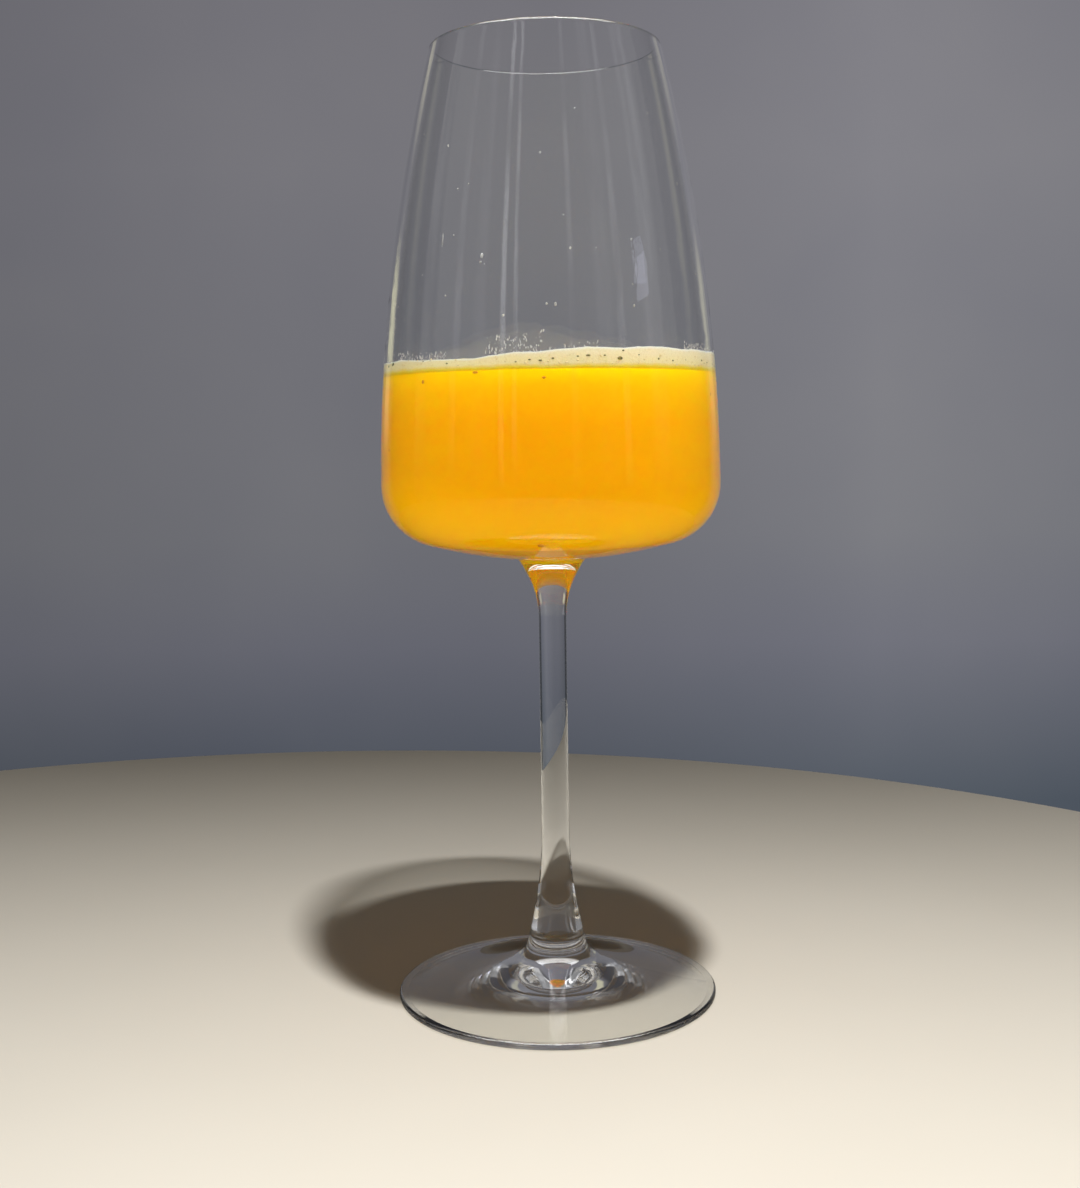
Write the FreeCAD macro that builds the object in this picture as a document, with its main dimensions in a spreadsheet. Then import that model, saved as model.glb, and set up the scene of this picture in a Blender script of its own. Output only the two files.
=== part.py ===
import FreeCAD
import Part
import math
import os
import Sketcher

# A mimosa in a stemmed glass: one tapered wine glass with a flat-based bowl, the drink and its foam.
# Millimetres. The origin is the middle of the foot on the surface it stands on, and +Z is up.

SIZES = [
    # the whole glass
    ("glass_height", 235.0, "standing surface to the rim"),
    # bowl, outside
    ("rim_radius", 28.0, "outside radius of the mouth"),
    ("bowl_radius", 42.1, "outside radius at the widest level"),
    ("widest_level", 124.4, "height where the bowl is widest"),
    ("floor_level", 110.9, "height of the bowl's underside on the axis"),
    ("floor_curve", 115.0, "radius of the underside's shallow dish"),
    ("corner_curve", 15.2, "radius of the round corner under the bowl"),
    # bowl, inside
    ("rim_wall", 1.1, "wall at the mouth"),
    ("bowl_wall", 2.0, "wall at the widest level"),
    ("floor_wall", 3.4, "glass under the drink, on the axis"),
    ("inner_floor_curve", 108.0, "radius of the inner floor's shallow dish"),
    ("inner_corner_curve", 13.0, "radius of the round corner inside"),
    # stem
    ("stem_radius", 3.5, "radius of the straight stem"),
    ("neck_curve", 22.0, "radius that turns the stem into its head"),
    ("head_angle", 30.0, "half angle of the conical head, degrees"),
    ("head_radius", 9.2, "radius of the head inside the bowl's floor"),
    ("head_fillet", 2.2, "round between head and bowl"),
    ("waist_level", 43.0, "height where the stem starts to widen to the foot"),
    ("flare_curve", 115.0, "radius of that slow widening"),
    # foot
    ("foot_radius", 40.4, "outside radius of the foot"),
    ("foot_edge", 1.6, "thickness at the foot's edge"),
    ("foot_slope", 8.0, "slope of the foot's top at its edge, degrees"),
    ("foot_curve", 138.0, "radius of the foot's hollow top"),
    ("foot_fillet", 5.5, "round between stem and foot"),
    ("bearing_width", 2.4, "ring at the edge that the glass stands on"),
    ("punt_height", 4.4, "rise of the underside's dome on the axis"),
    ("edge_round", 0.7, "round of the foot's edge, above and below"),
    ("rim_round", 0.5, "fire-polished round of the rim, inside and outside"),
    # contents
    ("drink_level", 156.3, "height of the drink under the foam"),
    ("foam_depth", 3.5, "mean depth of the foam"),
    ("foam_lean", 1.15, "how much deeper the foam is at its thick side"),
    ("foam_lean_side", -45.0, "direction of the thick side from +X, degrees"),
    ("foam_ripple", 0.22, "height of the foam's ripples"),
    ("foam_ripple_length", 19.0, "distance between ripples"),
]
FOAM_GRID = 14          # stretches between the points that carry the foam's top
AXIS = -2               # the sketch's vertical axis
ORIGIN = -1             # the sketch's origin, as point 1
START, END, CENTRE = 1, 2, 3

doc = FreeCAD.newDocument("mimosa_glass")
sheet = doc.addObject("Spreadsheet::Sheet", "sizes")
for row, (alias, value, meaning) in enumerate(SIZES, start=1):
    sheet.set("A%d" % row, meaning)
    sheet.set("B%d" % row, str(value))
    sheet.setAlias("B%d" % row, alias)
doc.recompute()


def size(alias):
    return float(sheet.get(alias))


# ---- what follows from the sizes, as expressions on the sheet ----

def arc_through_mouth(radius, mouth):
    """Radius of the wall's arc, upright at the widest level and ending at the mouth."""
    rise = "(sizes.glass_height - sizes.widest_level)"
    lean = "(%s - %s)" % (radius, mouth)
    return "(%s ^ 2 + %s ^ 2) / (2 * %s)" % (rise, lean, lean)


OUTSIDE = {
    "radius": "sizes.bowl_radius",
    "mouth": "sizes.rim_radius",
    "wall_curve": arc_through_mouth("sizes.bowl_radius", "sizes.rim_radius"),
    "corner_curve": "sizes.corner_curve",
    "floor_curve": "sizes.floor_curve",
    "floor_level": "sizes.floor_level",
}
INSIDE = {
    "radius": "(sizes.bowl_radius - sizes.bowl_wall)",
    "mouth": "(sizes.rim_radius - sizes.rim_wall)",
    "wall_curve": arc_through_mouth("(sizes.bowl_radius - sizes.bowl_wall)",
                                    "(sizes.rim_radius - sizes.rim_wall)"),
    "corner_curve": "sizes.inner_corner_curve",
    "floor_curve": "sizes.inner_floor_curve",
    "floor_level": "(sizes.floor_level + sizes.floor_wall)",
}


def worth(expression):
    return float(sheet.evalExpression(expression))


# ---- sketch helpers ----

def point(across, up):
    return FreeCAD.Vector(across, up, 0)


def angle_at(centre, place):
    return math.atan2(place.y - centre.y, place.x - centre.x)


def arc(centre, radius, first, last):
    """Arc about centre, counter-clockwise from the direction of first to that of last."""
    circle = Part.Circle(centre, FreeCAD.Vector(0, 0, 1), radius)
    return Part.ArcOfCircle(circle, angle_at(centre, first), angle_at(centre, last))


def body_named(name):
    body = doc.addObject("PartDesign::Body", name)
    body.Label = name
    return body


def plane_sketch(body, name):
    """Empty sketch on the body's XZ plane: across is X and up is Z."""
    plane = [item for item in body.Origin.OriginFeatures if item.Role == "XZ_Plane"][0]
    sketch = body.newObject("Sketcher::SketchObject", name)
    sketch.AttachmentSupport = (plane, [""])
    sketch.MapMode = "FlatFace"
    return sketch


def bind(sketch, name, expression, kind, *where):
    """Dimension called name, held at the expression's value."""
    factor = math.pi / 180 if kind == "Angle" else 1.0
    index = sketch.addConstraint(Sketcher.Constraint(kind, *where, worth(expression) * factor))
    sketch.renameConstraint(index, name)
    unit = " * 1 deg" if kind == "Angle" else " * 1 mm"
    sketch.setExpression("Constraints." + name, "(" + expression + ")" + unit)


def join(sketch, pairs, kind="Coincident"):
    """Join line and arc ends: each pair is (line, its end, line, its end)."""
    for pair in pairs:
        sketch.addConstraint(Sketcher.Constraint(kind, *pair))


def turn(body, sketch, name, kind="PartDesign::Revolution"):
    """Full turn of the sketch about the body's Z axis, added to the body or cut from it."""
    feature = body.newObject(kind, name)
    feature.Profile = sketch
    feature.ReferenceAxis = (sketch, ["V_Axis"])
    feature.Angle = 360
    doc.recompute()
    return feature


# ---- the bowl's outline, outside and inside ----

def bowl_arcs(side):
    """Centres and meeting points of the bowl's dish, corner and wall arcs, each tangent to the next."""
    wall_curve = worth(side["wall_curve"])
    corner_curve = worth(side["corner_curve"])
    floor_curve = worth(side["floor_curve"])
    wall = point(worth(side["radius"]) - wall_curve, size("widest_level"))
    floor = point(0, worth(side["floor_level"]) + floor_curve)
    to_wall = wall_curve - corner_curve
    to_floor = floor_curve - corner_curve
    line = floor - wall
    along = (to_wall ** 2 - to_floor ** 2 + line.Length ** 2) / (2 * line.Length)
    aside = math.sqrt(to_wall ** 2 - along ** 2)
    line.normalize()
    corner = wall + line * along + point(line.y, -line.x) * aside
    wall_meets = wall + (corner - wall).normalize() * wall_curve
    floor_meets = floor + (corner - floor).normalize() * floor_curve
    return wall, corner, floor, wall_meets, floor_meets


def bowl_sketch(body, name, side):
    """Half section of the bowl's form, outside or inside, from its floor up to the rim."""
    sketch = plane_sketch(body, name)
    wall_centre, corner_centre, floor_centre, wall_meets, floor_meets = bowl_arcs(side)
    bottom = point(0, worth(side["floor_level"]))
    lip = point(worth(side["mouth"]), size("glass_height"))
    floor = sketch.addGeometry(arc(floor_centre, worth(side["floor_curve"]), bottom, floor_meets), False)
    corner = sketch.addGeometry(arc(corner_centre, worth(side["corner_curve"]), floor_meets, wall_meets), False)
    wall = sketch.addGeometry(arc(wall_centre, worth(side["wall_curve"]), wall_meets, lip), False)
    cover = sketch.addGeometry(Part.LineSegment(lip, point(0, lip.y)), False)
    middle = sketch.addGeometry(Part.LineSegment(point(0, lip.y), bottom), False)
    join(sketch, [(floor, END, corner, START), (corner, END, wall, START)], "Tangent")
    join(sketch, [(wall, END, cover, START), (cover, END, middle, START), (middle, END, floor, START)])
    sketch.addConstraint(Sketcher.Constraint("Horizontal", cover))
    sketch.addConstraint(Sketcher.Constraint("PointOnObject", floor, CENTRE, AXIS))
    sketch.addConstraint(Sketcher.Constraint("PointOnObject", floor, START, AXIS))
    sketch.addConstraint(Sketcher.Constraint("PointOnObject", cover, END, AXIS))
    bind(sketch, "floor_curve", side["floor_curve"], "Radius", floor)
    bind(sketch, "floor_level", side["floor_level"], "DistanceY", floor, START)
    bind(sketch, "corner_curve", side["corner_curve"], "Radius", corner)
    bind(sketch, "wall_curve", side["wall_curve"], "Radius", wall)
    bind(sketch, "wall_reach", side["wall_curve"] + " - " + side["radius"],
         "DistanceX", wall, CENTRE, ORIGIN, 1)
    bind(sketch, "widest_level", "sizes.widest_level", "DistanceY", wall, CENTRE)
    bind(sketch, "glass_height", "sizes.glass_height", "DistanceY", wall, END)
    return sketch


# ---- the glass ----

def stem_sketch(body):
    """Half section of the foot and stem, up into the bowl's floor."""
    sketch = plane_sketch(body, "foot_and_stem_outline")
    slope = math.radians(size("foot_slope"))
    head_angle = math.radians(size("head_angle"))
    head_level = "(sizes.floor_level + sizes.floor_wall / 2)"
    head = point(size("head_radius"), worth(head_level))
    neck_offset = size("neck_curve") * (1 - math.cos(head_angle))
    cone_foot = point(size("stem_radius") + neck_offset, 0)
    cone_foot.y = head.y - (head.x - cone_foot.x) / math.tan(head_angle)
    neck_centre = point(size("stem_radius") + size("neck_curve"),
                        cone_foot.y - size("neck_curve") * math.sin(head_angle))
    neck = point(size("stem_radius"), neck_centre.y)
    waist = point(size("stem_radius"), size("waist_level"))
    flare_centre = point(size("stem_radius") + size("flare_curve"), size("waist_level"))
    edge = point(size("foot_radius"), size("foot_edge"))
    top_centre = edge + point(math.sin(slope), math.cos(slope)) * size("foot_curve")
    ankle = circles_meet(flare_centre, size("flare_curve"), top_centre, size("foot_curve"))
    sole = sketch.addGeometry(Part.LineSegment(point(0, 0), point(edge.x, 0)), False)
    rim = sketch.addGeometry(Part.LineSegment(point(edge.x, 0), edge), False)
    top = sketch.addGeometry(arc(top_centre, size("foot_curve"), ankle, edge), False)
    flare = sketch.addGeometry(arc(flare_centre, size("flare_curve"), waist, ankle), False)
    stem = sketch.addGeometry(Part.LineSegment(waist, neck), False)
    bend = sketch.addGeometry(arc(neck_centre, size("neck_curve"), cone_foot, neck), False)
    cone = sketch.addGeometry(Part.LineSegment(cone_foot, head), False)
    cover = sketch.addGeometry(Part.LineSegment(head, point(0, head.y)), False)
    middle = sketch.addGeometry(Part.LineSegment(point(0, head.y), point(0, 0)), False)
    join(sketch, [(middle, END, sole, START), (sole, END, rim, START), (rim, END, top, END),
                  (top, START, flare, END), (cone, END, cover, START), (cover, END, middle, START)])
    join(sketch, [(flare, START, stem, START), (stem, END, bend, END), (bend, START, cone, START)], "Tangent")
    sketch.addConstraint(Sketcher.Constraint("Coincident", sole, START, ORIGIN, 1))
    sketch.addConstraint(Sketcher.Constraint("Horizontal", sole))
    sketch.addConstraint(Sketcher.Constraint("Vertical", rim))
    sketch.addConstraint(Sketcher.Constraint("Vertical", stem))
    sketch.addConstraint(Sketcher.Constraint("Vertical", middle))
    sketch.addConstraint(Sketcher.Constraint("Horizontal", cover))
    bind(sketch, "foot_radius", "sizes.foot_radius", "DistanceX", sole, END)
    bind(sketch, "foot_edge", "sizes.foot_edge", "DistanceY", rim, END)
    bind(sketch, "foot_curve", "sizes.foot_curve", "Radius", top)
    bind(sketch, "foot_slope", "sizes.foot_radius + sizes.foot_curve * sin(sizes.foot_slope * 1 deg)",
         "DistanceX", top, CENTRE)
    bind(sketch, "flare_curve", "sizes.flare_curve", "Radius", flare)
    bind(sketch, "waist_level", "sizes.waist_level", "DistanceY", flare, START)
    bind(sketch, "stem_radius", "sizes.stem_radius", "DistanceX", stem, START)
    bind(sketch, "neck_curve", "sizes.neck_curve", "Radius", bend)
    bind(sketch, "head_angle", "sizes.head_angle", "Angle", cone, START, stem, START)
    bind(sketch, "head_radius", "sizes.head_radius", "DistanceX", cone, END)
    bind(sketch, "head_level", head_level, "DistanceY", cone, END)
    return sketch


def circles_meet(first, first_radius, second, second_radius):
    """The lower of the two points where two circles cross."""
    line = second - first
    along = (first_radius ** 2 - second_radius ** 2 + line.Length ** 2) / (2 * line.Length)
    aside = math.sqrt(first_radius ** 2 - along ** 2)
    line.normalize()
    crossings = [first + line * along + point(line.y, -line.x) * way for way in (aside, -aside)]
    return min(crossings, key=lambda place: place.y)


def punt_sketch(body):
    """Half section of the hollow under the foot, inside the ring it stands on."""
    sketch = plane_sketch(body, "punt_outline")
    span = "(sizes.foot_radius - sizes.bearing_width)"
    curve = "(%s ^ 2 + sizes.punt_height ^ 2) / (2 * sizes.punt_height)" % span
    crown = point(0, size("punt_height"))
    seat = point(worth(span), 0)
    centre = point(0, size("punt_height") - worth(curve))
    dome = sketch.addGeometry(arc(centre, worth(curve), seat, crown), False)
    sole = sketch.addGeometry(Part.LineSegment(point(0, 0), seat), False)
    middle = sketch.addGeometry(Part.LineSegment(crown, point(0, 0)), False)
    join(sketch, [(sole, END, dome, START), (dome, END, middle, START), (middle, END, sole, START)])
    sketch.addConstraint(Sketcher.Constraint("Coincident", sole, START, ORIGIN, 1))
    sketch.addConstraint(Sketcher.Constraint("Horizontal", sole))
    sketch.addConstraint(Sketcher.Constraint("Vertical", middle))
    sketch.addConstraint(Sketcher.Constraint("PointOnObject", dome, CENTRE, AXIS))
    bind(sketch, "span", span, "DistanceX", sole, END)
    bind(sketch, "punt_height", "sizes.punt_height", "DistanceY", dome, END)
    return sketch


def ring_edge(shape, radius, level):
    """Name of the circular edge about the axis that lies nearest to this radius and height."""
    rings = []
    for number, edge in enumerate(shape.Edges, start=1):
        if edge.Degenerated:
            continue
        if isinstance(edge.Curve, Part.Circle) and abs(edge.Curve.Axis.z) > 0.999:
            away = math.hypot(edge.Curve.Radius - radius, edge.Curve.Center.z - level)
            rings.append((away, "Edge%d" % number))
    return min(rings)[1]


def round_rings(body, name, radius, rings):
    """Round off the circular edges nearest to the given radii and heights."""
    base = body.Tip
    fillet = body.newObject("PartDesign::Fillet", name)
    fillet.Base = (base, [ring_edge(base.Shape, *ring) for ring in rings])
    fillet.setExpression("Radius", "sizes." + radius + " * 1 mm")
    body.Tip = fillet
    doc.recompute()


def make_glass():
    body = body_named("glass")
    turn(body, stem_sketch(body), "foot_and_stem")
    turn(body, bowl_sketch(body, "bowl_outline", OUTSIDE), "bowl")
    turn(body, bowl_sketch(body, "bowl_hollow_outline", INSIDE), "bowl_hollow",
         "PartDesign::Groove")
    turn(body, punt_sketch(body), "punt", "PartDesign::Groove")
    ankle = size("stem_radius") + (size("waist_level") - size("punt_height")) ** 2 / (2 * size("flare_curve"))
    foot_top = size("foot_edge") + math.tan(math.radians(2 * size("foot_slope"))) * (size("foot_radius") - ankle)
    head = size("head_radius") - math.tan(math.radians(size("head_angle"))) * size("floor_wall") / 2
    round_rings(body, "ankle_round", "foot_fillet", [(ankle, foot_top)])
    round_rings(body, "head_round", "head_fillet", [(head, size("floor_level"))])
    round_rings(body, "foot_edge_round", "edge_round",
                [(size("foot_radius"), size("foot_edge")), (size("foot_radius"), 0)])
    mouth = size("rim_radius")
    round_rings(body, "rim_round", "rim_round",
                [(mouth, size("glass_height")), (mouth - size("rim_wall"), size("glass_height"))])
    return body


# ---- the drink and its foam ----

def band_sketch(body, name, low, high):
    """Half section of a disc as wide as the bowl, from the level low to the level high."""
    sketch = plane_sketch(body, name)
    reach = size("bowl_radius")
    corners = [point(0, worth(low)), point(reach, worth(low)), point(reach, worth(high)), point(0, worth(high))]
    sides = []
    for first, second in zip(corners, corners[1:] + corners[:1]):
        sides.append(sketch.addGeometry(Part.LineSegment(first, second), False))
    bottom, outer, top, middle = sides
    join(sketch, [(bottom, END, outer, START), (outer, END, top, START),
                  (top, END, middle, START), (middle, END, bottom, START)])
    for side, way in ((bottom, "Horizontal"), (outer, "Vertical"), (top, "Horizontal"), (middle, "Vertical")):
        sketch.addConstraint(Sketcher.Constraint(way, side))
    sketch.addConstraint(Sketcher.Constraint("PointOnObject", bottom, START, AXIS))
    bind(sketch, "reach", "sizes.bowl_radius", "DistanceX", bottom, END)
    bind(sketch, "low", low, "DistanceY", bottom, END)
    bind(sketch, "high", high, "DistanceY", top, START)
    return sketch


def make_contents(name, low, high):
    """The bowl's whole inside, less the band from the level low to the level high."""
    body = body_named(name)
    turn(body, bowl_sketch(body, name + "_outline", INSIDE), name + "_fill")
    turn(body, band_sketch(body, name + "_band", low, high), name + "_cut", "PartDesign::Groove")
    return body


def make_drink():
    return make_contents("drink", "sizes.drink_level", "sizes.glass_height")


def foam_height(across, along):
    """Height of the foam over the drink: it leans to one side and is slightly rippled."""
    side = math.radians(size("foam_lean_side"))
    reach = (across * math.cos(side) + along * math.sin(side)) / size("bowl_radius")
    wave = 2 * math.pi / size("foam_ripple_length")
    ripple = math.sin(wave * across + 1.7) * math.cos(0.8 * wave * along + 0.4)
    ripple += 0.6 * math.sin(0.55 * wave * (across + along) + 2.9)
    return size("foam_depth") + size("foam_lean") * reach + size("foam_ripple") * ripple


def make_foam_top():
    """Solid whose top is the foam's uneven surface, wider than the bowl and as deep as the drink."""
    reach = size("bowl_radius")
    rows = []
    for i in range(FOAM_GRID + 1):
        across = reach * (2 * i / FOAM_GRID - 1)
        row = []
        for j in range(FOAM_GRID + 1):
            along = reach * (2 * j / FOAM_GRID - 1)
            row.append(FreeCAD.Vector(across, along, size("drink_level") + foam_height(across, along)))
        rows.append(row)
    surface = Part.BSplineSurface()
    surface.interpolate(rows)
    feature = doc.addObject("Part::Feature", "foam_top")
    feature.Shape = surface.toShape().extrude(FreeCAD.Vector(0, 0, size("floor_level") - size("drink_level")))
    return feature


def make_foam():
    foam = doc.addObject("Part::Common", "foam")
    foam.Label = "foam"
    foam.Base = make_contents("foam_space", "sizes.floor_level", "sizes.drink_level")
    foam.Tool = make_foam_top()
    return foam


parts = [make_glass(), make_drink(), make_foam()]
doc.recompute()
for item in doc.Objects:
    if "Invalid" in item.State or "Error" in item.State:
        raise RuntimeError("%s did not build: %s" % (item.Label, item.State))
for part in parts:
    if part.Shape.isNull() or not part.Shape.isValid() or len(part.Shape.Solids) != 1:
        raise RuntimeError("%s is not one valid solid" % part.Label)
os.makedirs("parts", exist_ok=True)
for part in parts:
    part.Shape.exportStep("parts/%s.step" % part.Label)
    print(part.Label, "volume %.1f cm3" % (part.Shape.Volume / 1000))
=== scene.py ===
import bpy
import math
import random
from mathutils import Matrix, Vector, noise


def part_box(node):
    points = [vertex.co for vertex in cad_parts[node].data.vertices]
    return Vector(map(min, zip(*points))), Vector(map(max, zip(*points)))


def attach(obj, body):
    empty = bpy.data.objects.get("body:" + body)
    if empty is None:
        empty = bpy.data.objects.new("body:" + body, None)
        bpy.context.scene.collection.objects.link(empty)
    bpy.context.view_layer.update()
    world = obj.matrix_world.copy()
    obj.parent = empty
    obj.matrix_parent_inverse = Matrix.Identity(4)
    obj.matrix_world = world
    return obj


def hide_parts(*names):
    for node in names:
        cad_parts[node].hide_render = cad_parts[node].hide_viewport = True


# A mimosa in a stemmed glass. Metres, +Z up, the foot's middle at the origin, the front towards -Y.

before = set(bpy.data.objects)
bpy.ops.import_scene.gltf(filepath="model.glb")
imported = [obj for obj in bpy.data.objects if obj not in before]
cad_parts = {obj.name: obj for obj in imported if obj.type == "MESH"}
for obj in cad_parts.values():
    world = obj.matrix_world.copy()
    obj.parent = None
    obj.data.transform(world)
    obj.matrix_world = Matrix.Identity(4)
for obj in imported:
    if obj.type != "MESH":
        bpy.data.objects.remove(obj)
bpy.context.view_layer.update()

MM = 0.001
BITE = 0.15 * MM                    # how far the contents reach into the glass wall
SUNK = 0.2 * MM                     # how far the foam reaches down into the drink
AROUND = 256                        # points around the drink, the foam and the table
glass_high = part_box("glass")[1]
drink_low, drink_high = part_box("drink")

# the bowl's sizes, as built
RIM_Z = glass_high.z
BOWL_R = glass_high.x               # widest, outside
RIM_R = 28.0 * MM
WIDEST_Z = 124.4 * MM
FLOOR_Z = 110.9 * MM
RIM_WALL = 1.1 * MM
BOWL_WALL = 2.0 * MM
FLOOR_WALL = 3.4 * MM
INNER_CORNER = 13.0 * MM
INNER_FLOOR_CURVE = 108.0 * MM
DRINK_Z = drink_high.z

# the foam's form, as built
FOAM_DEPTH = 3.5 * MM
FOAM_LEAN = 1.15 * MM
FOAM_LEAN_SIDE = math.radians(-45)
FOAM_RIPPLE = 0.22 * MM
FOAM_RIPPLE_LENGTH = 19.0 * MM
# where the foam has sunk a little further at the wall
DIP = 1.4 * MM
DIP_WIDE = 12.0 * MM
DIP_PLACE = (-16.9 * MM, -36.2 * MM)


def foam_top(x, y):
    """Height of the foam's top at a place over the drink."""
    reach = (x * math.cos(FOAM_LEAN_SIDE) + y * math.sin(FOAM_LEAN_SIDE)) / BOWL_R
    wave = 2 * math.pi / FOAM_RIPPLE_LENGTH
    ripple = math.sin(wave * x + 1.7) * math.cos(0.8 * wave * y + 0.4)
    ripple += 0.6 * math.sin(0.55 * wave * (x + y) + 2.9)
    away = math.hypot(x - DIP_PLACE[0], y - DIP_PLACE[1]) / DIP_WIDE
    return DRINK_Z + FOAM_DEPTH + FOAM_LEAN * reach + FOAM_RIPPLE * ripple - DIP * math.exp(-away ** 2 / 2)


# ---- the inside of the bowl ----

INNER_R = BOWL_R - BOWL_WALL
INNER_LEAN = INNER_R - (RIM_R - RIM_WALL)
INNER_WALL_CURVE = ((RIM_Z - WIDEST_Z) ** 2 + INNER_LEAN ** 2) / (2 * INNER_LEAN)
INNER_FLOOR_MIDDLE_Z = FLOOR_Z + FLOOR_WALL + INNER_FLOOR_CURVE
FLOOR_STEPS, CORNER_STEPS, WALL_STEPS = 16, 24, 24


def inner_radius(z):
    """Radius of the inner wall above the corner."""
    return INNER_R - INNER_WALL_CURVE + math.sqrt(INNER_WALL_CURVE ** 2 - (z - WIDEST_Z) ** 2)


def arc_points(centre, radius, first, last, count):
    """Points on an arc about centre (radius, height) between two angles."""
    steps = [first + (last - first) * i / count for i in range(count + 1)]
    return [(centre[0] + radius * math.cos(a), centre[1] + radius * math.sin(a)) for a in steps]


def inner_profile(top, bite):
    """Half section (radius, height) of the bowl's inside from its floor's middle up to top."""
    wall = Vector((INNER_R - INNER_WALL_CURVE, WIDEST_Z))
    floor = Vector((0, INNER_FLOOR_MIDDLE_Z))
    to_wall = INNER_WALL_CURVE - INNER_CORNER
    to_floor = INNER_FLOOR_CURVE - INNER_CORNER
    line = floor - wall
    along = (to_wall ** 2 - to_floor ** 2 + line.length ** 2) / (2 * line.length)
    aside = math.sqrt(to_wall ** 2 - along ** 2)
    line.normalize()
    corner = wall + line * along + Vector((line.y, -line.x)) * aside
    floor_turn = math.atan2(corner.y - floor.y, corner.x - floor.x)
    wall_turn = math.atan2(corner.y - wall.y, corner.x - wall.x)
    top_turn = math.asin((top - WIDEST_Z) / (INNER_WALL_CURVE + bite))
    profile = arc_points(floor, INNER_FLOOR_CURVE + bite, -math.pi / 2, floor_turn, FLOOR_STEPS)
    profile += arc_points(corner, INNER_CORNER + bite, floor_turn, wall_turn, CORNER_STEPS)[1:]
    profile += arc_points(wall, INNER_WALL_CURVE + bite, wall_turn, top_turn, WALL_STEPS)[1:]
    return profile


# ---- mesh helpers ----

def mesh_object(name, points, faces, smooth=True):
    mesh = bpy.data.meshes.new(name)
    mesh.from_pydata(points, [], faces)
    mesh.validate()
    obj = bpy.data.objects.new(name, mesh)
    bpy.context.scene.collection.objects.link(obj)
    for polygon in mesh.polygons:
        polygon.use_smooth = smooth
    return obj


def add_ring(points, rings, ring):
    """Add a ring of points, and its row of numbers. A ring of one point stands for a whole row."""
    numbers = list(range(len(points), len(points) + len(ring)))
    rings.append(numbers if len(ring) > 1 else numbers * AROUND)
    points.extend(ring)


def skin(rings):
    """Faces between rings of point numbers."""
    faces = []
    for low, high in zip(rings, rings[1:]):
        for i in range(AROUND):
            j = (i + 1) % AROUND
            face = [low[i], low[j], high[j], high[i]]
            faces.append([v for n, v in enumerate(face) if v != face[n - 1]])
    return faces


TURNS = [2 * math.pi * k / AROUND for k in range(AROUND)]


def turned(profile):
    """Points and faces of a profile turned about Z. Its first and last points may lie on the axis."""
    points, rings = [], []
    for radius, height in profile:
        on_axis = radius < 1e-7
        add_ring(points, rings, [(0, 0, height)] if on_axis else
                 [(radius * math.cos(a), radius * math.sin(a), height) for a in TURNS])
    return points, skin(rings)


# ---- node helpers ----

def material(name):
    mat = bpy.data.materials.new(name)
    mat.use_nodes = True
    mat.node_tree.nodes.clear()
    return mat, mat.node_tree


def node(tree, kind, inputs=None, **values):
    """New node. Each input is an output to link or a plain value. The rest are its properties."""
    made = tree.nodes.new(kind)
    for key, value in values.items():
        setattr(made, key, value)
    for key, value in (inputs or {}).items():
        if isinstance(value, bpy.types.NodeSocket):
            tree.links.new(value, made.inputs[key])
        else:
            made.inputs[key].default_value = value
    return made


def result(tree, kind, inputs=None, **values):
    """First output of a new node."""
    return node(tree, kind, inputs, **values).outputs[0]


def place_in(tree):
    """Where a point lies, in the shared frame."""
    return node(tree, "ShaderNodeTexCoord").outputs["Object"]


def axes(tree, place):
    return node(tree, "ShaderNodeSeparateXYZ", {0: place}).outputs


def ramp(tree, source, stops):
    """Colour by a value. A stop is (value, colour), and one number stands for a grey."""
    made = node(tree, "ShaderNodeValToRGB", {0: source})
    elements = made.color_ramp.elements
    while len(elements) < len(stops):
        elements.new(0.5)
    for element, (value, colour) in zip(elements, stops):
        element.position = value
        element.color = (*colour, 1) if isinstance(colour, tuple) else (colour, colour, colour, 1)
    return made.outputs[0]


def span(tree, source, low, high, start=0.0, end=1.0, **values):
    """start where source is at or under low, end where it is at or over high, even in between."""
    return result(tree, "ShaderNodeMapRange", {0: source, 1: low, 2: high, 3: start, 4: end}, **values)


def maths(tree, operation, *terms, clamp=False):
    return result(tree, "ShaderNodeMath", dict(enumerate(terms)), operation=operation, use_clamp=clamp)


def mix(tree, share, first, second):
    """Colour between first and second."""
    return result(tree, "ShaderNodeMixRGB", {0: share, 1: first, 2: second})


def product(tree, first, *others):
    """Colours multiplied."""
    for other in others:
        first = result(tree, "ShaderNodeMixRGB", {0: 1.0, 1: first, 2: other}, blend_type="MULTIPLY")
    return first


def total(tree, first, second):
    """Two colours added."""
    return result(tree, "ShaderNodeMixRGB", {0: 1.0, 1: first, 2: second}, blend_type="ADD")


def either(tree, share, first, second):
    """Shader between first and second."""
    return result(tree, "ShaderNodeMixShader", {0: share, 1: first, 2: second})


def specks(tree, place, scale, **more):
    """Noise. Its detail is Blender's own where none is given."""
    return result(tree, "ShaderNodeTexNoise", {0: place, "Scale": scale, **more})


def principled(tree, **inputs):
    """Principled shader. An input's name is written with _ for its spaces."""
    return result(tree, "ShaderNodeBsdfPrincipled",
                  {key.replace("_", " "): value for key, value in inputs.items()})


def surface(tree, shader):
    node(tree, "ShaderNodeOutputMaterial", {0: shader})


# ---- materials ----

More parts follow.
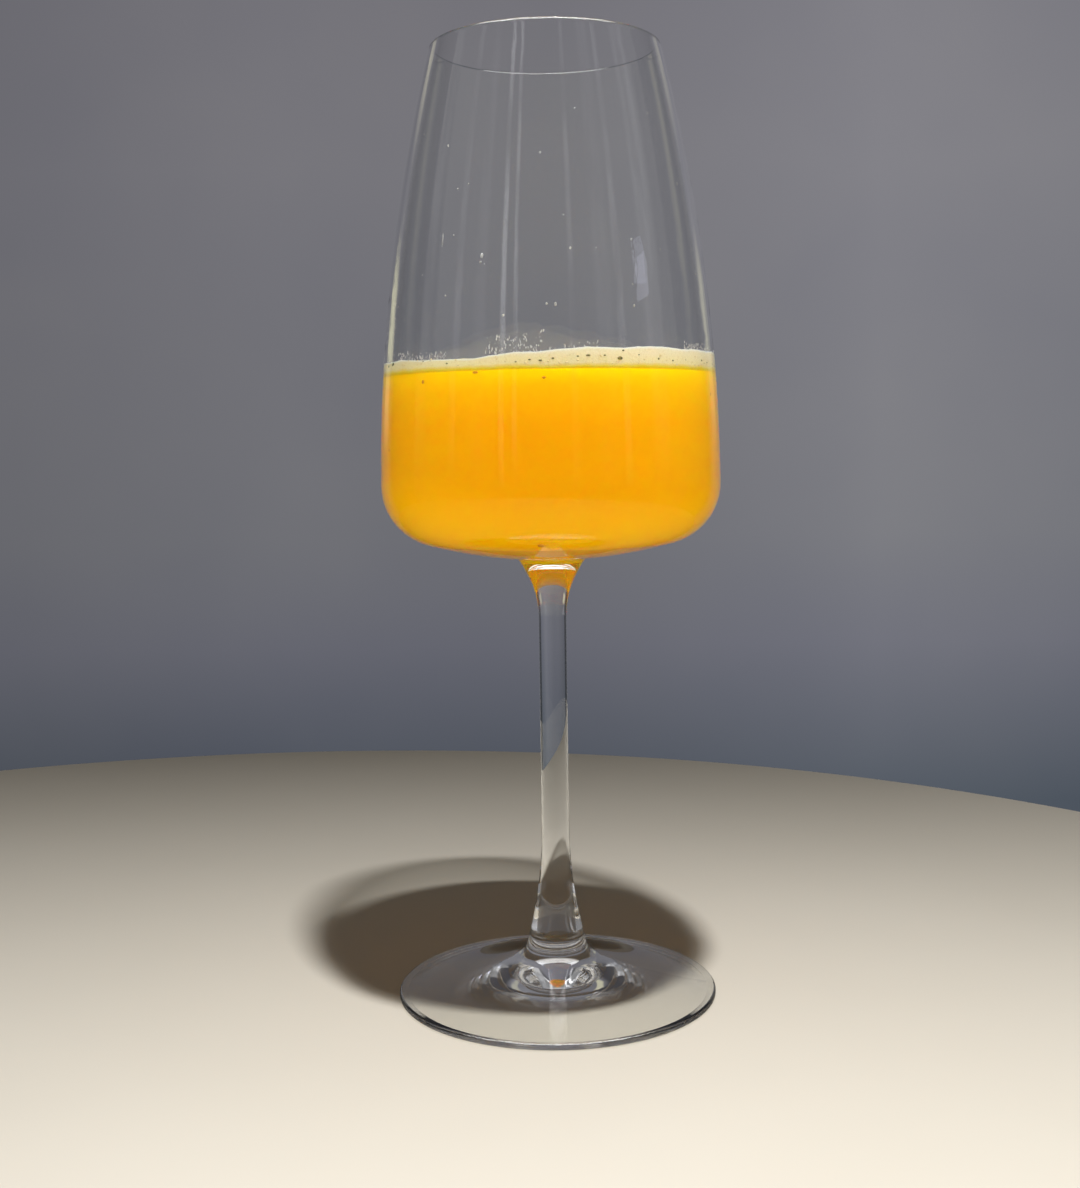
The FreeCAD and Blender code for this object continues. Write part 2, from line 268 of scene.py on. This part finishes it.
def glass_material():
    """Clear blown glass, faintly wavy. Lamps shine through it, less where they meet it edge-on."""
    mat, tree = material("clear_glass")
    place = place_in(tree)
    upright = result(tree, "ShaderNodeMapping", {0: place, "Scale": (1, 1, 0.25)})
    waves = specks(tree, upright, 38.0, Detail=1.0)
    bump = result(tree, "ShaderNodeBump", {"Height": waves, "Strength": 1.0, "Distance": 0.025 * MM})
    shell = principled(tree, Base_Color=(0.99, 0.995, 0.99, 1), Roughness=0.0, IOR=1.5,
                       Transmission_Weight=1.0, Normal=bump)
    facing = node(tree, "ShaderNodeLayerWeight", {"Blend": 0.5}).outputs["Facing"]
    shade = ramp(tree, facing, [(0.0, (0.965, 0.97, 0.965)), (0.5, (0.93, 0.935, 0.93)),
                                (0.8, (0.6, 0.6, 0.59)), (1.0, 0.12)])
    off_foot = span(tree, axes(tree, place)["Z"], 3 * MM, 20 * MM)
    tone = mix(tree, off_foot, (0.90, 0.90, 0.88, 1), shade)
    clear = result(tree, "ShaderNodeBsdfTransparent", {0: tone})
    path = node(tree, "ShaderNodeLightPath").outputs
    body = either(tree, path["Is Diffuse Ray"], shell, clear)
    surface(tree, either(tree, path["Is Shadow Ray"], body, clear))
    return mat


def drink_material():
    """Cloudy orange drink: light goes deep into it. Its colour holds painted light: a little yellower under
    the foam, where the lamp's light comes in from above, and at its very bottom.
    """
    mat, tree = material("mimosa")
    place = place_in(tree)
    height = span(tree, axes(tree, place)["Z"], drink_low.z, drink_high.z)
    # painted light: yellower towards the top, where lamp light comes in through the foam, and a little
    # yellower at the very bottom
    colours = ramp(tree, height, [(0.0, (0.99, 0.475, 0.001)), (0.3, (0.99, 0.45, 0.001)),
                                  (0.7, (0.99, 0.48, 0.001)), (1.0, (0.99, 0.63, 0.002))])
    cloud = specks(tree, place, 60.0, Detail=3.0)
    shades = ramp(tree, cloud, [(0.3, (0.98, 0.95, 0.9)), (0.7, 1)])
    surface(tree, principled(tree, Base_Color=product(tree, colours, shades), Roughness=0.5,
                             Specular_IOR_Level=0.0, Subsurface_Weight=1.0,
                             Subsurface_Radius=(1.0, 0.6, 0.05), Subsurface_Scale=20 * MM))
    return mat


def foam_material():
    """Pale cream foam that takes the drink's colour where the two meet."""
    mat, tree = material("mimosa_foam")
    place = place_in(tree)
    height = span(tree, axes(tree, place)["Z"], DRINK_Z, DRINK_Z + FOAM_DEPTH)
    uneven = 0.25                   # share of the depth by which the colours wander
    patch = specks(tree, place, 220.0, Detail=2.0)
    lift = maths(tree, "MULTIPLY_ADD", patch, uneven, -uneven / 2)
    level = maths(tree, "ADD", height, lift)
    colours = ramp(tree, level, [(0.0, (0.99, 0.58, 0.004)), (0.12, (0.96, 0.66, 0.06)),
                                 (0.34, (0.94, 0.78, 0.40)), (1.0, (0.93, 0.80, 0.52))])
    crown = node(tree, "ShaderNodeAttribute", attribute_name="crown").outputs["Fac"]
    pale = mix(tree, crown, colours, (0.98, 0.93, 0.80, 1))
    cells = result(tree, "ShaderNodeTexVoronoi", {0: place, "Scale": 2200.0})
    shades = ramp(tree, cells, [(0.0, 1), (0.6, (0.98, 0.975, 0.96)), (0.9, (0.93, 0.9, 0.84))])
    bump = result(tree, "ShaderNodeBump", {"Height": cells, "Strength": 0.15, "Distance": 0.3 * MM})
    surface(tree, principled(tree, Base_Color=product(tree, pale, shades), Roughness=0.6,
                             Specular_IOR_Level=0.1, Subsurface_Weight=0.6,
                             Subsurface_Radius=(1.0, 0.8, 0.5), Subsurface_Scale=3 * MM, Normal=bump))
    return mat


def plain_material(name, colour, other, scale, rough, alpha=1.0, specular=0.5):
    """Small-scale mottled material between two colours."""
    mat, tree = material(name)
    shades = ramp(tree, specks(tree, place_in(tree), scale), [(0.35, colour), (0.65, other)])
    surface(tree, principled(tree, Base_Color=shades, Roughness=rough, Alpha=alpha,
                             Specular_IOR_Level=specular))
    return mat


def drop_glint_material():
    """Water drops, hazed here and there, and partly white: a painted highlight."""
    mat, tree = material("glint_drop")
    haze = span(tree, specks(tree, place_in(tree), 900.0), 0.0, 1.0, 0.02, 0.12)
    # painted highlight: only part of the light goes through, the rest is white, so that the drops show as
    # bright dots
    surface(tree, principled(tree, Base_Color=(0.98, 0.98, 0.98, 1), Roughness=haze, IOR=1.33,
                             Transmission_Weight=0.55))
    return mat


# ---- pieces ----

def dress_glass():
    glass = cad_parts["glass"]
    glass.data.materials.clear()
    glass.data.materials.append(glass_material())


def make_drink():
    top = DRINK_Z - SUNK
    profile = inner_profile(top, BITE)
    edge = profile[-1][0]
    profile += [(edge - 0.1 * MM, top), (edge - 1.0 * MM, DRINK_Z)]
    profile += [(edge * k, DRINK_Z) for k in (0.9, 0.6, 0.3, 0)]
    points, faces = turned(profile)
    drink = mesh_object("mimosa_fill", points, faces)
    drink.data.set_sharp_from_angle(angle=math.radians(35))
    drink.data.materials.append(drink_material())
    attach(drink, "root")
    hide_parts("drink")
    return drink


def make_foam():
    """Foam with a lumpy top that creeps a little way up the wall."""
    rows = 14                       # steps up the side
    steps_in = 26                   # rings of the top, less the two close to its edge
    points, rings = [], []
    low = DRINK_Z - SUNK
    edge = inner_radius(DRINK_Z) + BITE
    tops = []
    for a in TURNS:
        # millimetres up the wall: a slow wave around it and a finer one
        creep = 0.18 + 0.16 * noise.noise(Vector((9 * math.cos(a), 9 * math.sin(a), 2)))
        creep += 0.10 * noise.noise(Vector((34 * math.cos(a), 34 * math.sin(a), 5)))
        tops.append(foam_top(edge * math.cos(a), edge * math.sin(a)) + creep * MM)
    for i in range(rows + 1):
        ring = []
        for a, top in zip(TURNS, tops):
            z = low + (top - low) * i / rows
            r = inner_radius(z) + BITE
            ring.append((r * math.cos(a), r * math.sin(a), z))
        add_ring(points, rings, ring)
    for share in [0.985, 0.965] + [i / (steps_in + 2) for i in range(steps_in, 0, -1)]:
        ring = []
        for a in TURNS:
            x, y = math.cos(a), math.sin(a)
            edge = (inner_radius(DRINK_Z + FOAM_DEPTH) + BITE) * share
            lump = 0.12 * MM * noise.noise(Vector((900 * edge * x, 900 * edge * y, 0)))
            ring.append((edge * x, edge * y, foam_top(edge * x, edge * y) + lump))
        add_ring(points, rings, ring)
    add_ring(points, rings, [(0, 0, foam_top(0, 0))])
    add_ring(points, rings, [(0, 0, low)])
    rings.insert(0, rings.pop())
    foam = mesh_object("foam_layer", points, skin(rings))
    foam.data.set_sharp_from_angle(angle=math.radians(50))
    # the pale line where the foam meets the wall
    crown = foam.data.attributes.new("crown", "FLOAT", "POINT")
    for step, share in ((-1, 0.5), (0, 1.0), (1, 0.9), (2, 0.6), (3, 0.2)):
        for v in rings[rows + 1 + step]:
            crown.data[v].value = share
    foam.data.materials.append(foam_material())
    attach(foam, "root")
    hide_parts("foam")
    return foam


def wall_place(turn, z, deep):
    """Point on the inner wall, its way out and its way up. turn is in degrees from the front."""
    a = math.radians(turn - 90)
    r = inner_radius(z) + deep
    lean = math.asin((z - WIDEST_Z) / INNER_WALL_CURVE)
    out = Vector((math.cos(a) * math.cos(lean), math.sin(a) * math.cos(lean), math.sin(lean)))
    up = Vector((-math.cos(a) * math.sin(lean), -math.sin(a) * math.sin(lean), math.cos(lean)))
    return Vector((r * math.cos(a), r * math.sin(a), z)), out, up


def floor_place(turn, z, deep):
    """The same for a point on the bowl's floor inside."""
    a = math.radians(turn - 90)
    drop = INNER_FLOOR_MIDDLE_Z - z
    reach = math.sqrt(INNER_FLOOR_CURVE ** 2 - drop ** 2)
    out = Vector((math.cos(a) * reach, math.sin(a) * reach, -drop)) / INNER_FLOOR_CURVE
    up = Vector((math.cos(a) * drop, math.sin(a) * drop, reach)) / INNER_FLOOR_CURVE
    return Vector((math.cos(a) * reach, math.sin(a) * reach, z)) + out * deep, out, up


BLOB_RINGS, BLOB_AROUND = 5, 12     # rings of a blob between its two poles, and points in a ring


def blobs(name, spots, mat):
    """One piece of many flattened blobs.

    A spot is (turn, height, wide, tall, deep, how far into the wall).
    """
    points, faces = [], []
    for turn, z, wide, tall, deep, sink in spots:
        middle, out, up = (wall_place if z > WIDEST_Z else floor_place)(turn, z, sink)
        along = out.cross(up)
        first = len(points)
        for i in range(1, BLOB_RINGS + 1):
            a = math.pi * i / (BLOB_RINGS + 1)
            for k in range(BLOB_AROUND):
                b = 2 * math.pi * k / BLOB_AROUND
                points.append(middle + along * (wide / 2 * math.sin(a) * math.cos(b))
                              + up * (tall / 2 * math.sin(a) * math.sin(b)) + out * (deep / 2 * math.cos(a)))
        outer = len(points)
        points += [middle + out * deep / 2, middle - out * deep / 2]
        for k in range(BLOB_AROUND):
            j = (k + 1) % BLOB_AROUND
            last = outer - BLOB_AROUND
            faces.append([first + j, first + k, outer])
            faces.append([last + k, last + j, outer + 1])
            for row in range(first, last, BLOB_AROUND):
                faces.append([row + k, row + j, row + BLOB_AROUND + j, row + BLOB_AROUND + k])
    obj = mesh_object(name, points, faces)
    obj.data.materials.append(mat)
    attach(obj, "root")
    return obj


BUBBLE_DEEP = 0.3 * MM
BUBBLES_BEHIND, FINE_BUBBLES = 46, 150


def make_bubbles():
    """Open bubbles in the foam's face against the wall, dark with painted shade, and fine ones all round."""
    rng = random.Random(5)
    # painted shade: the open bubbles are dark blobs that stand for the shade in their hollows
    bubble_shade = plain_material("bubble_painted_shade", (0.10, 0.09, 0.03), (0.30, 0.24, 0.07), 2500, 0.3)
    # turn from the front, and height above the drink, width and height in mm
    seen = [(23.9, 2.1, 1.3, 0.8), (25.2, 3.8, 0.6, 0.4), (39.0, 2.1, 0.55, 0.45), (45.6, 1.8, 0.5, 0.4),
            (18.6, 2.7, 0.6, 0.35), (13.0, 2.7, 1.1, 0.45), (9.6, 2.5, 0.5, 0.35), (1.5, 2.1, 0.6, 0.4),
            (-2.5, 1.7, 0.8, 0.4), (-6.0, 1.9, 0.6, 0.35), (-10.5, 1.5, 0.5, 0.35), (31.0, 2.9, 0.3, 0.3)]
    spots = [(turn, DRINK_Z + up * MM, wide * MM, tall * MM, BUBBLE_DEEP, BITE)
             for turn, up, wide, tall in seen]
    for _ in range(BUBBLES_BEHIND):
        turn = rng.uniform(50, 330)
        wide = rng.choice((0.3, 0.4, 0.5, 0.9)) * rng.uniform(0.8, 1.2)
        spots.append((turn, DRINK_Z + rng.uniform(1.2, 2.6) * MM, wide * MM, 0.6 * wide * MM,
                      BUBBLE_DEEP, BITE))
    bubbles = blobs("foam_bubbles", spots, bubble_shade)
    pale = plain_material("bubble_pale", (0.80, 0.62, 0.28), (0.88, 0.70, 0.36), 2500, 0.35)
    spots = []
    for _ in range(FINE_BUBBLES):
        size = rng.uniform(0.25, 0.7) * MM
        spots.append((rng.uniform(0, 360), DRINK_Z + rng.uniform(0.9, 3.0) * MM, size, 0.7 * size,
                      0.22 * MM, BITE))
    return bubbles, blobs("foam_cells", spots, pale)


# where film lies on the wall: first and last turn, how high it reaches in mm, number of its bits
FILM = [(-21, -2, 4.4, 130), (-62, -36, 1.8, 110), (0, 18, 1.2, 30), (52, 74, 1.7, 90), (-86, -72, 11, 90),
        (80, 130, 1.8, 60), (150, 210, 2.4, 90), (230, 270, 1.9, 60)]


def make_residue():
    """Dried film that the foam left on the wall above it: short upright streaks and dots."""
    rng = random.Random(11)
    film = plain_material("foam_film", (0.86, 0.82, 0.74), (0.97, 0.95, 0.91), 1800, 0.5, alpha=0.5)
    edge = inner_radius(DRINK_Z)
    spots = []
    for first, last, rise, count in FILM:
        for _ in range(count):
            turn = rng.uniform(first, last)
            a = math.radians(turn - 90)
            top = foam_top(edge * math.cos(a), edge * math.sin(a))
            up = rise * MM * rng.random() ** 1.6
            wide = rng.uniform(0.08, 0.30) * MM
            tall = wide * rng.uniform(0.7, 3.2)
            spots.append((turn, top + up + tall / 3, wide, tall, 0.12 * MM, -0.02 * MM))
    return blobs("foam_film", spots, film)


PULP_DEEP = 0.3 * MM
PULP_BEHIND = 26


def make_specks():
    """Bits of pulp in the drink against the wall, and one lying on the bowl's floor."""
    pulp = plain_material("pulp", (0.58, 0.22, 0.01), (0.72, 0.32, 0.02), 2500, 0.6, specular=0.1)
    spots = [(-46.0, DRINK_Z - 2.2 * MM, 0.8 * MM, 0.9 * MM, PULP_DEEP, BITE),
             (-1.4, DRINK_Z - 2.1 * MM, 0.9 * MM, 0.6 * MM, PULP_DEEP, BITE),
             (-24.3, DRINK_Z - 0.6 * MM, 1.4 * MM, 0.6 * MM, PULP_DEEP, BITE),
             (-4.2, 118.55 * MM, 1.5 * MM, 1.6 * MM, 0.5 * MM, BITE)]
    rng = random.Random(3)
    for _ in range(PULP_BEHIND):
        spots.append((rng.uniform(60, 300), WIDEST_Z + rng.uniform(2, 30) * MM,
                      rng.uniform(0.4, 0.9) * MM, rng.uniform(0.4, 0.9) * MM, PULP_DEEP, BITE))
    return blobs("pulp_bits", spots, pulp)


DROPS_BEHIND = 22


def make_drops():
    """Water drops and a short run on the bowl's inside, partly white as a painted highlight."""
    water = drop_glint_material()
    rng = random.Random(8)
    # turn from the front, and height above the table, width and height in mm
    spots = [(-23.0, 181.6, 0.8, 1.3), (-23.4, 180.2, 0.6, 0.5), (-40.0, 186.0, 0.4, 3.2),
             (-2.0, 204.0, 0.5, 0.5), (6.0, 190.0, 0.5, 0.4), (31.0, 185.0, 0.4, 0.6),
             (12.0, 214.0, 0.4, 0.4), (-30.0, 198.0, 0.4, 0.4)]
    for _ in range(DROPS_BEHIND):
        size = rng.uniform(0.3, 0.7)
        spots.append((rng.uniform(60, 300), rng.uniform(166, 222), size, size * rng.uniform(1, 1.8)))
    spots = [(turn, z * MM, wide * MM, tall * MM, 0.3 * MM, 0.0) for turn, z, wide, tall in spots]
    blobs("glint_drops", spots, water)


# ---- stage, light and camera ----

TABLE_MIDDLE = (-0.089, -0.057)
TABLE_R = 0.3755
TABLE_THICK = 20 * MM
TABLE_EDGE = 4 * MM                 # radius of its rounded edge
TABLE_Z = -0.1 * MM                 # a hair under the foot
WALL_Y = 0.62
WALL_SIDE, WALL_LOW, WALL_HIGH = 3, -2, 3
SHADED_HEIGHTS, SHADED_SIDES = (-0.1, 0.5), (-0.35, 0.35)        # where the wall's shade changes
LAMP = (0.0415, -0.130, 0.600)
LAMP_AIM = (0.03, -0.80, 0.0)
LAMP_WIDE = 0.03
BOWL_MIDDLE = (0.0, 0.0, 0.137)
KEY_POWER, DRINK_POWER, FOAM_POWER = 8.1, 3.1, 3.05              # watts
# name, place, power and width of the soft lamps on the contents
SOFT_LAMPS = [("left", (-0.45, -0.10, 0.08), 1.15, 0.4), ("right", (0.45, -0.06, 0.08), 1.1, 0.4),
              ("front", (-0.05, -0.50, 0.02), 1.12, 0.4), ("back", (0.05, 0.50, 0.12), 0.6, 0.4),
              ("below", (0.0, -0.10, 0.02), 0.02, 0.04)]
# the room's bright strips: way round from straight behind the wall (degrees, + to the right, so that 180
# is behind the camera), width (degrees) and brightness
STRIPS = [(-148, 3.5, 0.9), (-157, 3, 0.7), (163, 4, 0.35), (100, 14, 0.2), (-80, 16, 0.15), (127, 5, 0.35),
          (-112, 5, 0.3), (60, 8, 0.4), (140, 12, 0.12), (-130, 9, 0.12)]
# a bright patch of the room, which the glass reflects as a pale streak: way round and its half width
# (degrees), height share and its half height
BRIGHT_PATCH = (109, 4.5, 0.293, 0.03)
BRIGHT_PATCH_BENT = 0.25                  # how far noise pushes it round (radians)


def seen_rays(tree):
    """1 where the ray comes from the camera, straight or by glass or gloss."""
    path = node(tree, "ShaderNodeLightPath").outputs
    straight = maths(tree, "ADD", path["Is Camera Ray"], path["Is Glossy Ray"], clamp=True)
    return maths(tree, "ADD", straight, path["Is Transmission Ray"], clamp=True)


def mirrored_rays(tree):
    """1 for a ray off a surface's outside. Rays through smooth glass are glossy and transmitted both."""
    path = node(tree, "ShaderNodeLightPath").outputs
    return maths(tree, "SUBTRACT", path["Is Glossy Ray"], path["Is Transmission Ray"], clamp=True)


def table_material():
    mat, tree = material("table_paint")
    cloud = specks(tree, place_in(tree), 6.0, Detail=4.0)
    shades = ramp(tree, cloud, [(0.35, (0.59, 0.55, 0.475)), (0.65, (0.61, 0.57, 0.495))])
    # no gloss: its rough rays would see the bright ceiling and fill the shadow
    paint = principled(tree, Base_Color=shades, Roughness=0.7, Specular_IOR_Level=0.0)
    # painted shade: a ray mirrored off a surface's outside sees the table in this darker colour
    dim = result(tree, "ShaderNodeBsdfDiffuse", {"Color": (0.16, 0.145, 0.12, 1)})
    surface(tree, either(tree, mirrored_rays(tree), paint, dim))
    return mat


def make_table():
    corner = (TABLE_R - TABLE_EDGE, -TABLE_EDGE)
    profile = [(0, 0), (TABLE_R * 0.5, 0), (TABLE_R - TABLE_EDGE, 0)]
    profile += arc_points(corner, TABLE_EDGE, math.pi / 2, 0, 6)[1:]
    profile += [(TABLE_R, -TABLE_THICK), (0, -TABLE_THICK)]
    points, faces = turned(profile)
    top = mesh_object("table", points, faces, smooth=False)
    top.location = (*TABLE_MIDDLE, TABLE_Z)
    top.data.materials.append(table_material())


def wall_material():
    """The wall as the camera sees it, glowing with painted shade: bluer and darker towards its foot, with
    pale panes out of view.
    """
    mat, tree = material("wall_paint")
    place = place_in(tree)
    where = axes(tree, place)
    tall = span(tree, where["Z"], *SHADED_HEIGHTS)
    # painted shade: the wall's glow is darker and bluer towards its foot
    shade = ramp(tree, tall, [(0.0, (0.067, 0.080, 0.100)), (0.18, (0.133, 0.136, 0.163)),
                              (0.3, (0.157, 0.159, 0.177)), (0.7, (0.185, 0.182, 0.20)),
                              (1.0, (0.165, 0.162, 0.185))])
    across = span(tree, where["X"], *SHADED_SIDES)
    # painted light: the glow is lighter right of the middle and a little darker at the left
    side = ramp(tree, across, [(0.0, 0.87), (0.25, 0.99), (0.5, 1), (0.8, (1.25, 1.25, 1.24)),
                               (1.0, (1.1, 1.11, 1.12))])
    patch = specks(tree, place, 5.0, Detail=3.0)
    spots = ramp(tree, patch, [(0.3, (0.94, 0.945, 0.97)), (0.7, (1.05, 1.045, 1.03))])
    out = maths(tree, "ABSOLUTE", where["X"])
    # painted shade: darker far out to the sides
    far = ramp(tree, out, [(0.55, 1), (0.75, 0.25)])
    paint = product(tree, shade, side, spots, far)
    beside = ramp(tree, out, [(0.37, 0), (0.39, 1), (0.52, 1), (0.58, 0)])
    low, high = (0.46, 0.44, 0.26), (0.34, 0.32, 0.22)
    heights = ramp(tree, where["Z"], [(0.14, 0), (0.19, low), (0.29, low), (0.33, 0.04), (0.43, 0.04),
                                      (0.47, high), (0.62, high), (0.66, 0)])
    hand = ramp(tree, across, [(0.0, 0.8), (0.9, 0.8), (1.0, 0.45)])
    panes = product(tree, beside, heights, hand)
    glow = result(tree, "ShaderNodeEmission", {0: total(tree, paint, panes)})
    dull = result(tree, "ShaderNodeBsdfDiffuse", {"Color": (0.2, 0.2, 0.22, 1)})
    surface(tree, either(tree, seen_rays(tree), dull, glow))
    return mat


def make_wall():
    corners = [(-WALL_SIDE, WALL_Y, WALL_LOW), (WALL_SIDE, WALL_Y, WALL_LOW),
               (WALL_SIDE, WALL_Y, WALL_HIGH), (-WALL_SIDE, WALL_Y, WALL_HIGH)]
    wall = mesh_object("wall", corners, [(0, 1, 2, 3)], smooth=False)
    wall.data.materials.append(wall_material())


def make_world():
    """A dim room with a pale ceiling and a few upright bright strips, and an even warm fill."""
    world = bpy.data.worlds.new("room")
    bpy.context.scene.world = world
    world.use_nodes = True
    tree = world.node_tree
    tree.nodes.clear()
    way = node(tree, "ShaderNodeTexCoord").outputs["Generated"]
    parts = axes(tree, way)
    mirrored = mirrored_rays(tree)
    # the walls of the room, from the camera's side to the wall's
    back = span(tree, parts["Y"], -1.0, 1.0)
    sides = ramp(tree, back, [(0.0, (0.22, 0.22, 0.225)), (0.4, (0.26, 0.26, 0.266)),
                              (0.7, (0.30, 0.30, 0.305)), (1.0, (0.25, 0.25, 0.255))])
    sides = product(tree, sides, span(tree, mirrored, 0.0, 1.0, 1.0, 0.2))
    # upright strips, each soft at its edges
    turn = maths(tree, "ARCTAN2", parts["X"], parts["Y"])
    lines = None
    for middle, wide, bright in STRIPS:
        away = maths(tree, "ABSOLUTE", maths(tree, "SUBTRACT", turn, math.radians(middle)))
        strip = span(tree, away, math.radians(wide * 0.3), math.radians(wide * 0.7), bright, 0.0,
                     interpolation_type="SMOOTHSTEP")
        lines = strip if lines is None else maths(tree, "ADD", lines, strip)
    tall = ramp(tree, parts["Z"], [(0.0, 0), (0.08, 1), (0.75, 1), (0.8, 0)])
    patch = specks(tree, way, 7.0, Detail=3.0)
    broken = ramp(tree, patch, [(0.38, 0.25), (0.62, (1.5, 1.5, 1.55))])
    lit = product(tree, tall, lines, broken, span(tree, mirrored, 0.0, 1.0, 1.7, 0.33))
    # the ceiling, which a mirrored ray sees much brighter than one through the glass
    above = ramp(tree, parts["Z"], [(0.76, 0), (0.86, 1)])
    over = mix(tree, mirrored, (2.5, 2.5, 2.5, 1), (14.0, 14.0, 14.0, 1))
    room = mix(tree, above, total(tree, sides, lit), over)
    # the bright patch, which the glass reflects as a pale streak
    uneven = specks(tree, way, 16.0, Detail=2.0)
    bent = maths(tree, "MULTIPLY_ADD", uneven, BRIGHT_PATCH_BENT, turn)
    patch_turn = maths(tree, "COMPARE", bent, math.radians(BRIGHT_PATCH[0]) + BRIGHT_PATCH_BENT / 2,
                       math.radians(BRIGHT_PATCH[1]))
    patch_tall = maths(tree, "COMPARE", parts["Z"], BRIGHT_PATCH[2], BRIGHT_PATCH[3])
    bright_patch = maths(tree, "MULTIPLY", patch_turn, patch_tall)
    room = result(tree, "ShaderNodeBackground", {0: mix(tree, bright_patch, room, (1.5, 1.52, 1.85, 1)), 1: 1.0})
    fill = result(tree, "ShaderNodeBackground", {0: (0.160, 0.150, 0.137, 1), 1: 1.0})
    node(tree, "ShaderNodeOutputWorld", {0: either(tree, seen_rays(tree), fill, room)})


def make_lamp(name, place, towards, power, width):
    """Round lamp. width and the places are in metres, power is in watts."""
    data = bpy.data.lights.new(name, "AREA")
    data.energy = power
    data.shape = "DISK"
    data.size = width
    lamp = bpy.data.objects.new(name, data)
    lamp.location = place
    lamp.rotation_mode = "QUATERNION"
    lamp.rotation_quaternion = (Vector(towards) - Vector(place)).to_track_quat("-Z", "Y")
    bpy.context.scene.collection.objects.link(lamp)
    return lamp


def linked(lamp, kind, pieces, state):
    """Which pieces a lamp lights, or which ones block it."""
    group = bpy.data.collections.new(lamp.name + "_" + kind)
    setattr(lamp.light_linking, kind, group)
    for piece in pieces:
        group.objects.link(piece)
    for item in group.collection_objects:
        item.light_linking.link_state = state


def make_lamps(drink, foam, bits):
    """The key lights the glass and the table and casts the shadow.

    The contents have lamps of their own at the same place, so that the foam doesn't shade the drink, and
    soft ones that even them out.
    """
    contents = [drink, foam, *bits]
    key = make_lamp("key", LAMP, LAMP_AIM, KEY_POWER, LAMP_WIDE)
    linked(key, "receiver_collection", contents, "EXCLUDE")
    deep = make_lamp("key_in_drink", LAMP, BOWL_MIDDLE, DRINK_POWER, LAMP_WIDE)
    linked(deep, "receiver_collection", [drink, *bits], "INCLUDE")
    linked(deep, "blocker_collection", [foam], "EXCLUDE")
    crown = make_lamp("key_on_foam", LAMP, BOWL_MIDDLE, FOAM_POWER, LAMP_WIDE)
    linked(crown, "receiver_collection", [foam], "INCLUDE")
    for name, place, power, wide in SOFT_LAMPS:
        soft = make_lamp("soft_" + name, place, BOWL_MIDDLE, power, wide)
        linked(soft, "receiver_collection", contents, "INCLUDE")


CAMERA_PLACE = (0.0020, -0.3813, 0.1391)
CAMERA_DOWN, CAMERA_LEFT, CAMERA_ROLL = 5.525, 0.763, -0.83      # degrees
CAMERA_LENS, CAMERA_SENSOR = 46.3, 36.0                          # millimetres


def make_camera():
    data = bpy.data.cameras.new("camera")
    data.sensor_width = CAMERA_SENSOR
    data.lens = CAMERA_LENS
    camera = bpy.data.objects.new("camera", data)
    camera.matrix_world = (Matrix.Translation(CAMERA_PLACE)
                           @ Matrix.Rotation(math.radians(CAMERA_LEFT), 4, "Z")
                           @ Matrix.Rotation(math.pi / 2 - math.radians(CAMERA_DOWN), 4, "X")
                           @ Matrix.Rotation(math.radians(CAMERA_ROLL), 4, "Z"))
    bpy.context.scene.collection.objects.link(camera)
    bpy.context.scene.camera = camera


dress_glass()
drink = make_drink()
foam = make_foam()
bits = [*make_bubbles(), make_residue(), make_specks()]
make_drops()
make_table()
make_wall()
make_world()
make_lamps(drink, foam, bits)
make_camera()
scene = bpy.context.scene
scene.view_settings.view_transform = "Standard"
scene.cycles.max_bounces = 24
scene.cycles.glossy_bounces = 20
scene.cycles.transmission_bounces = 24
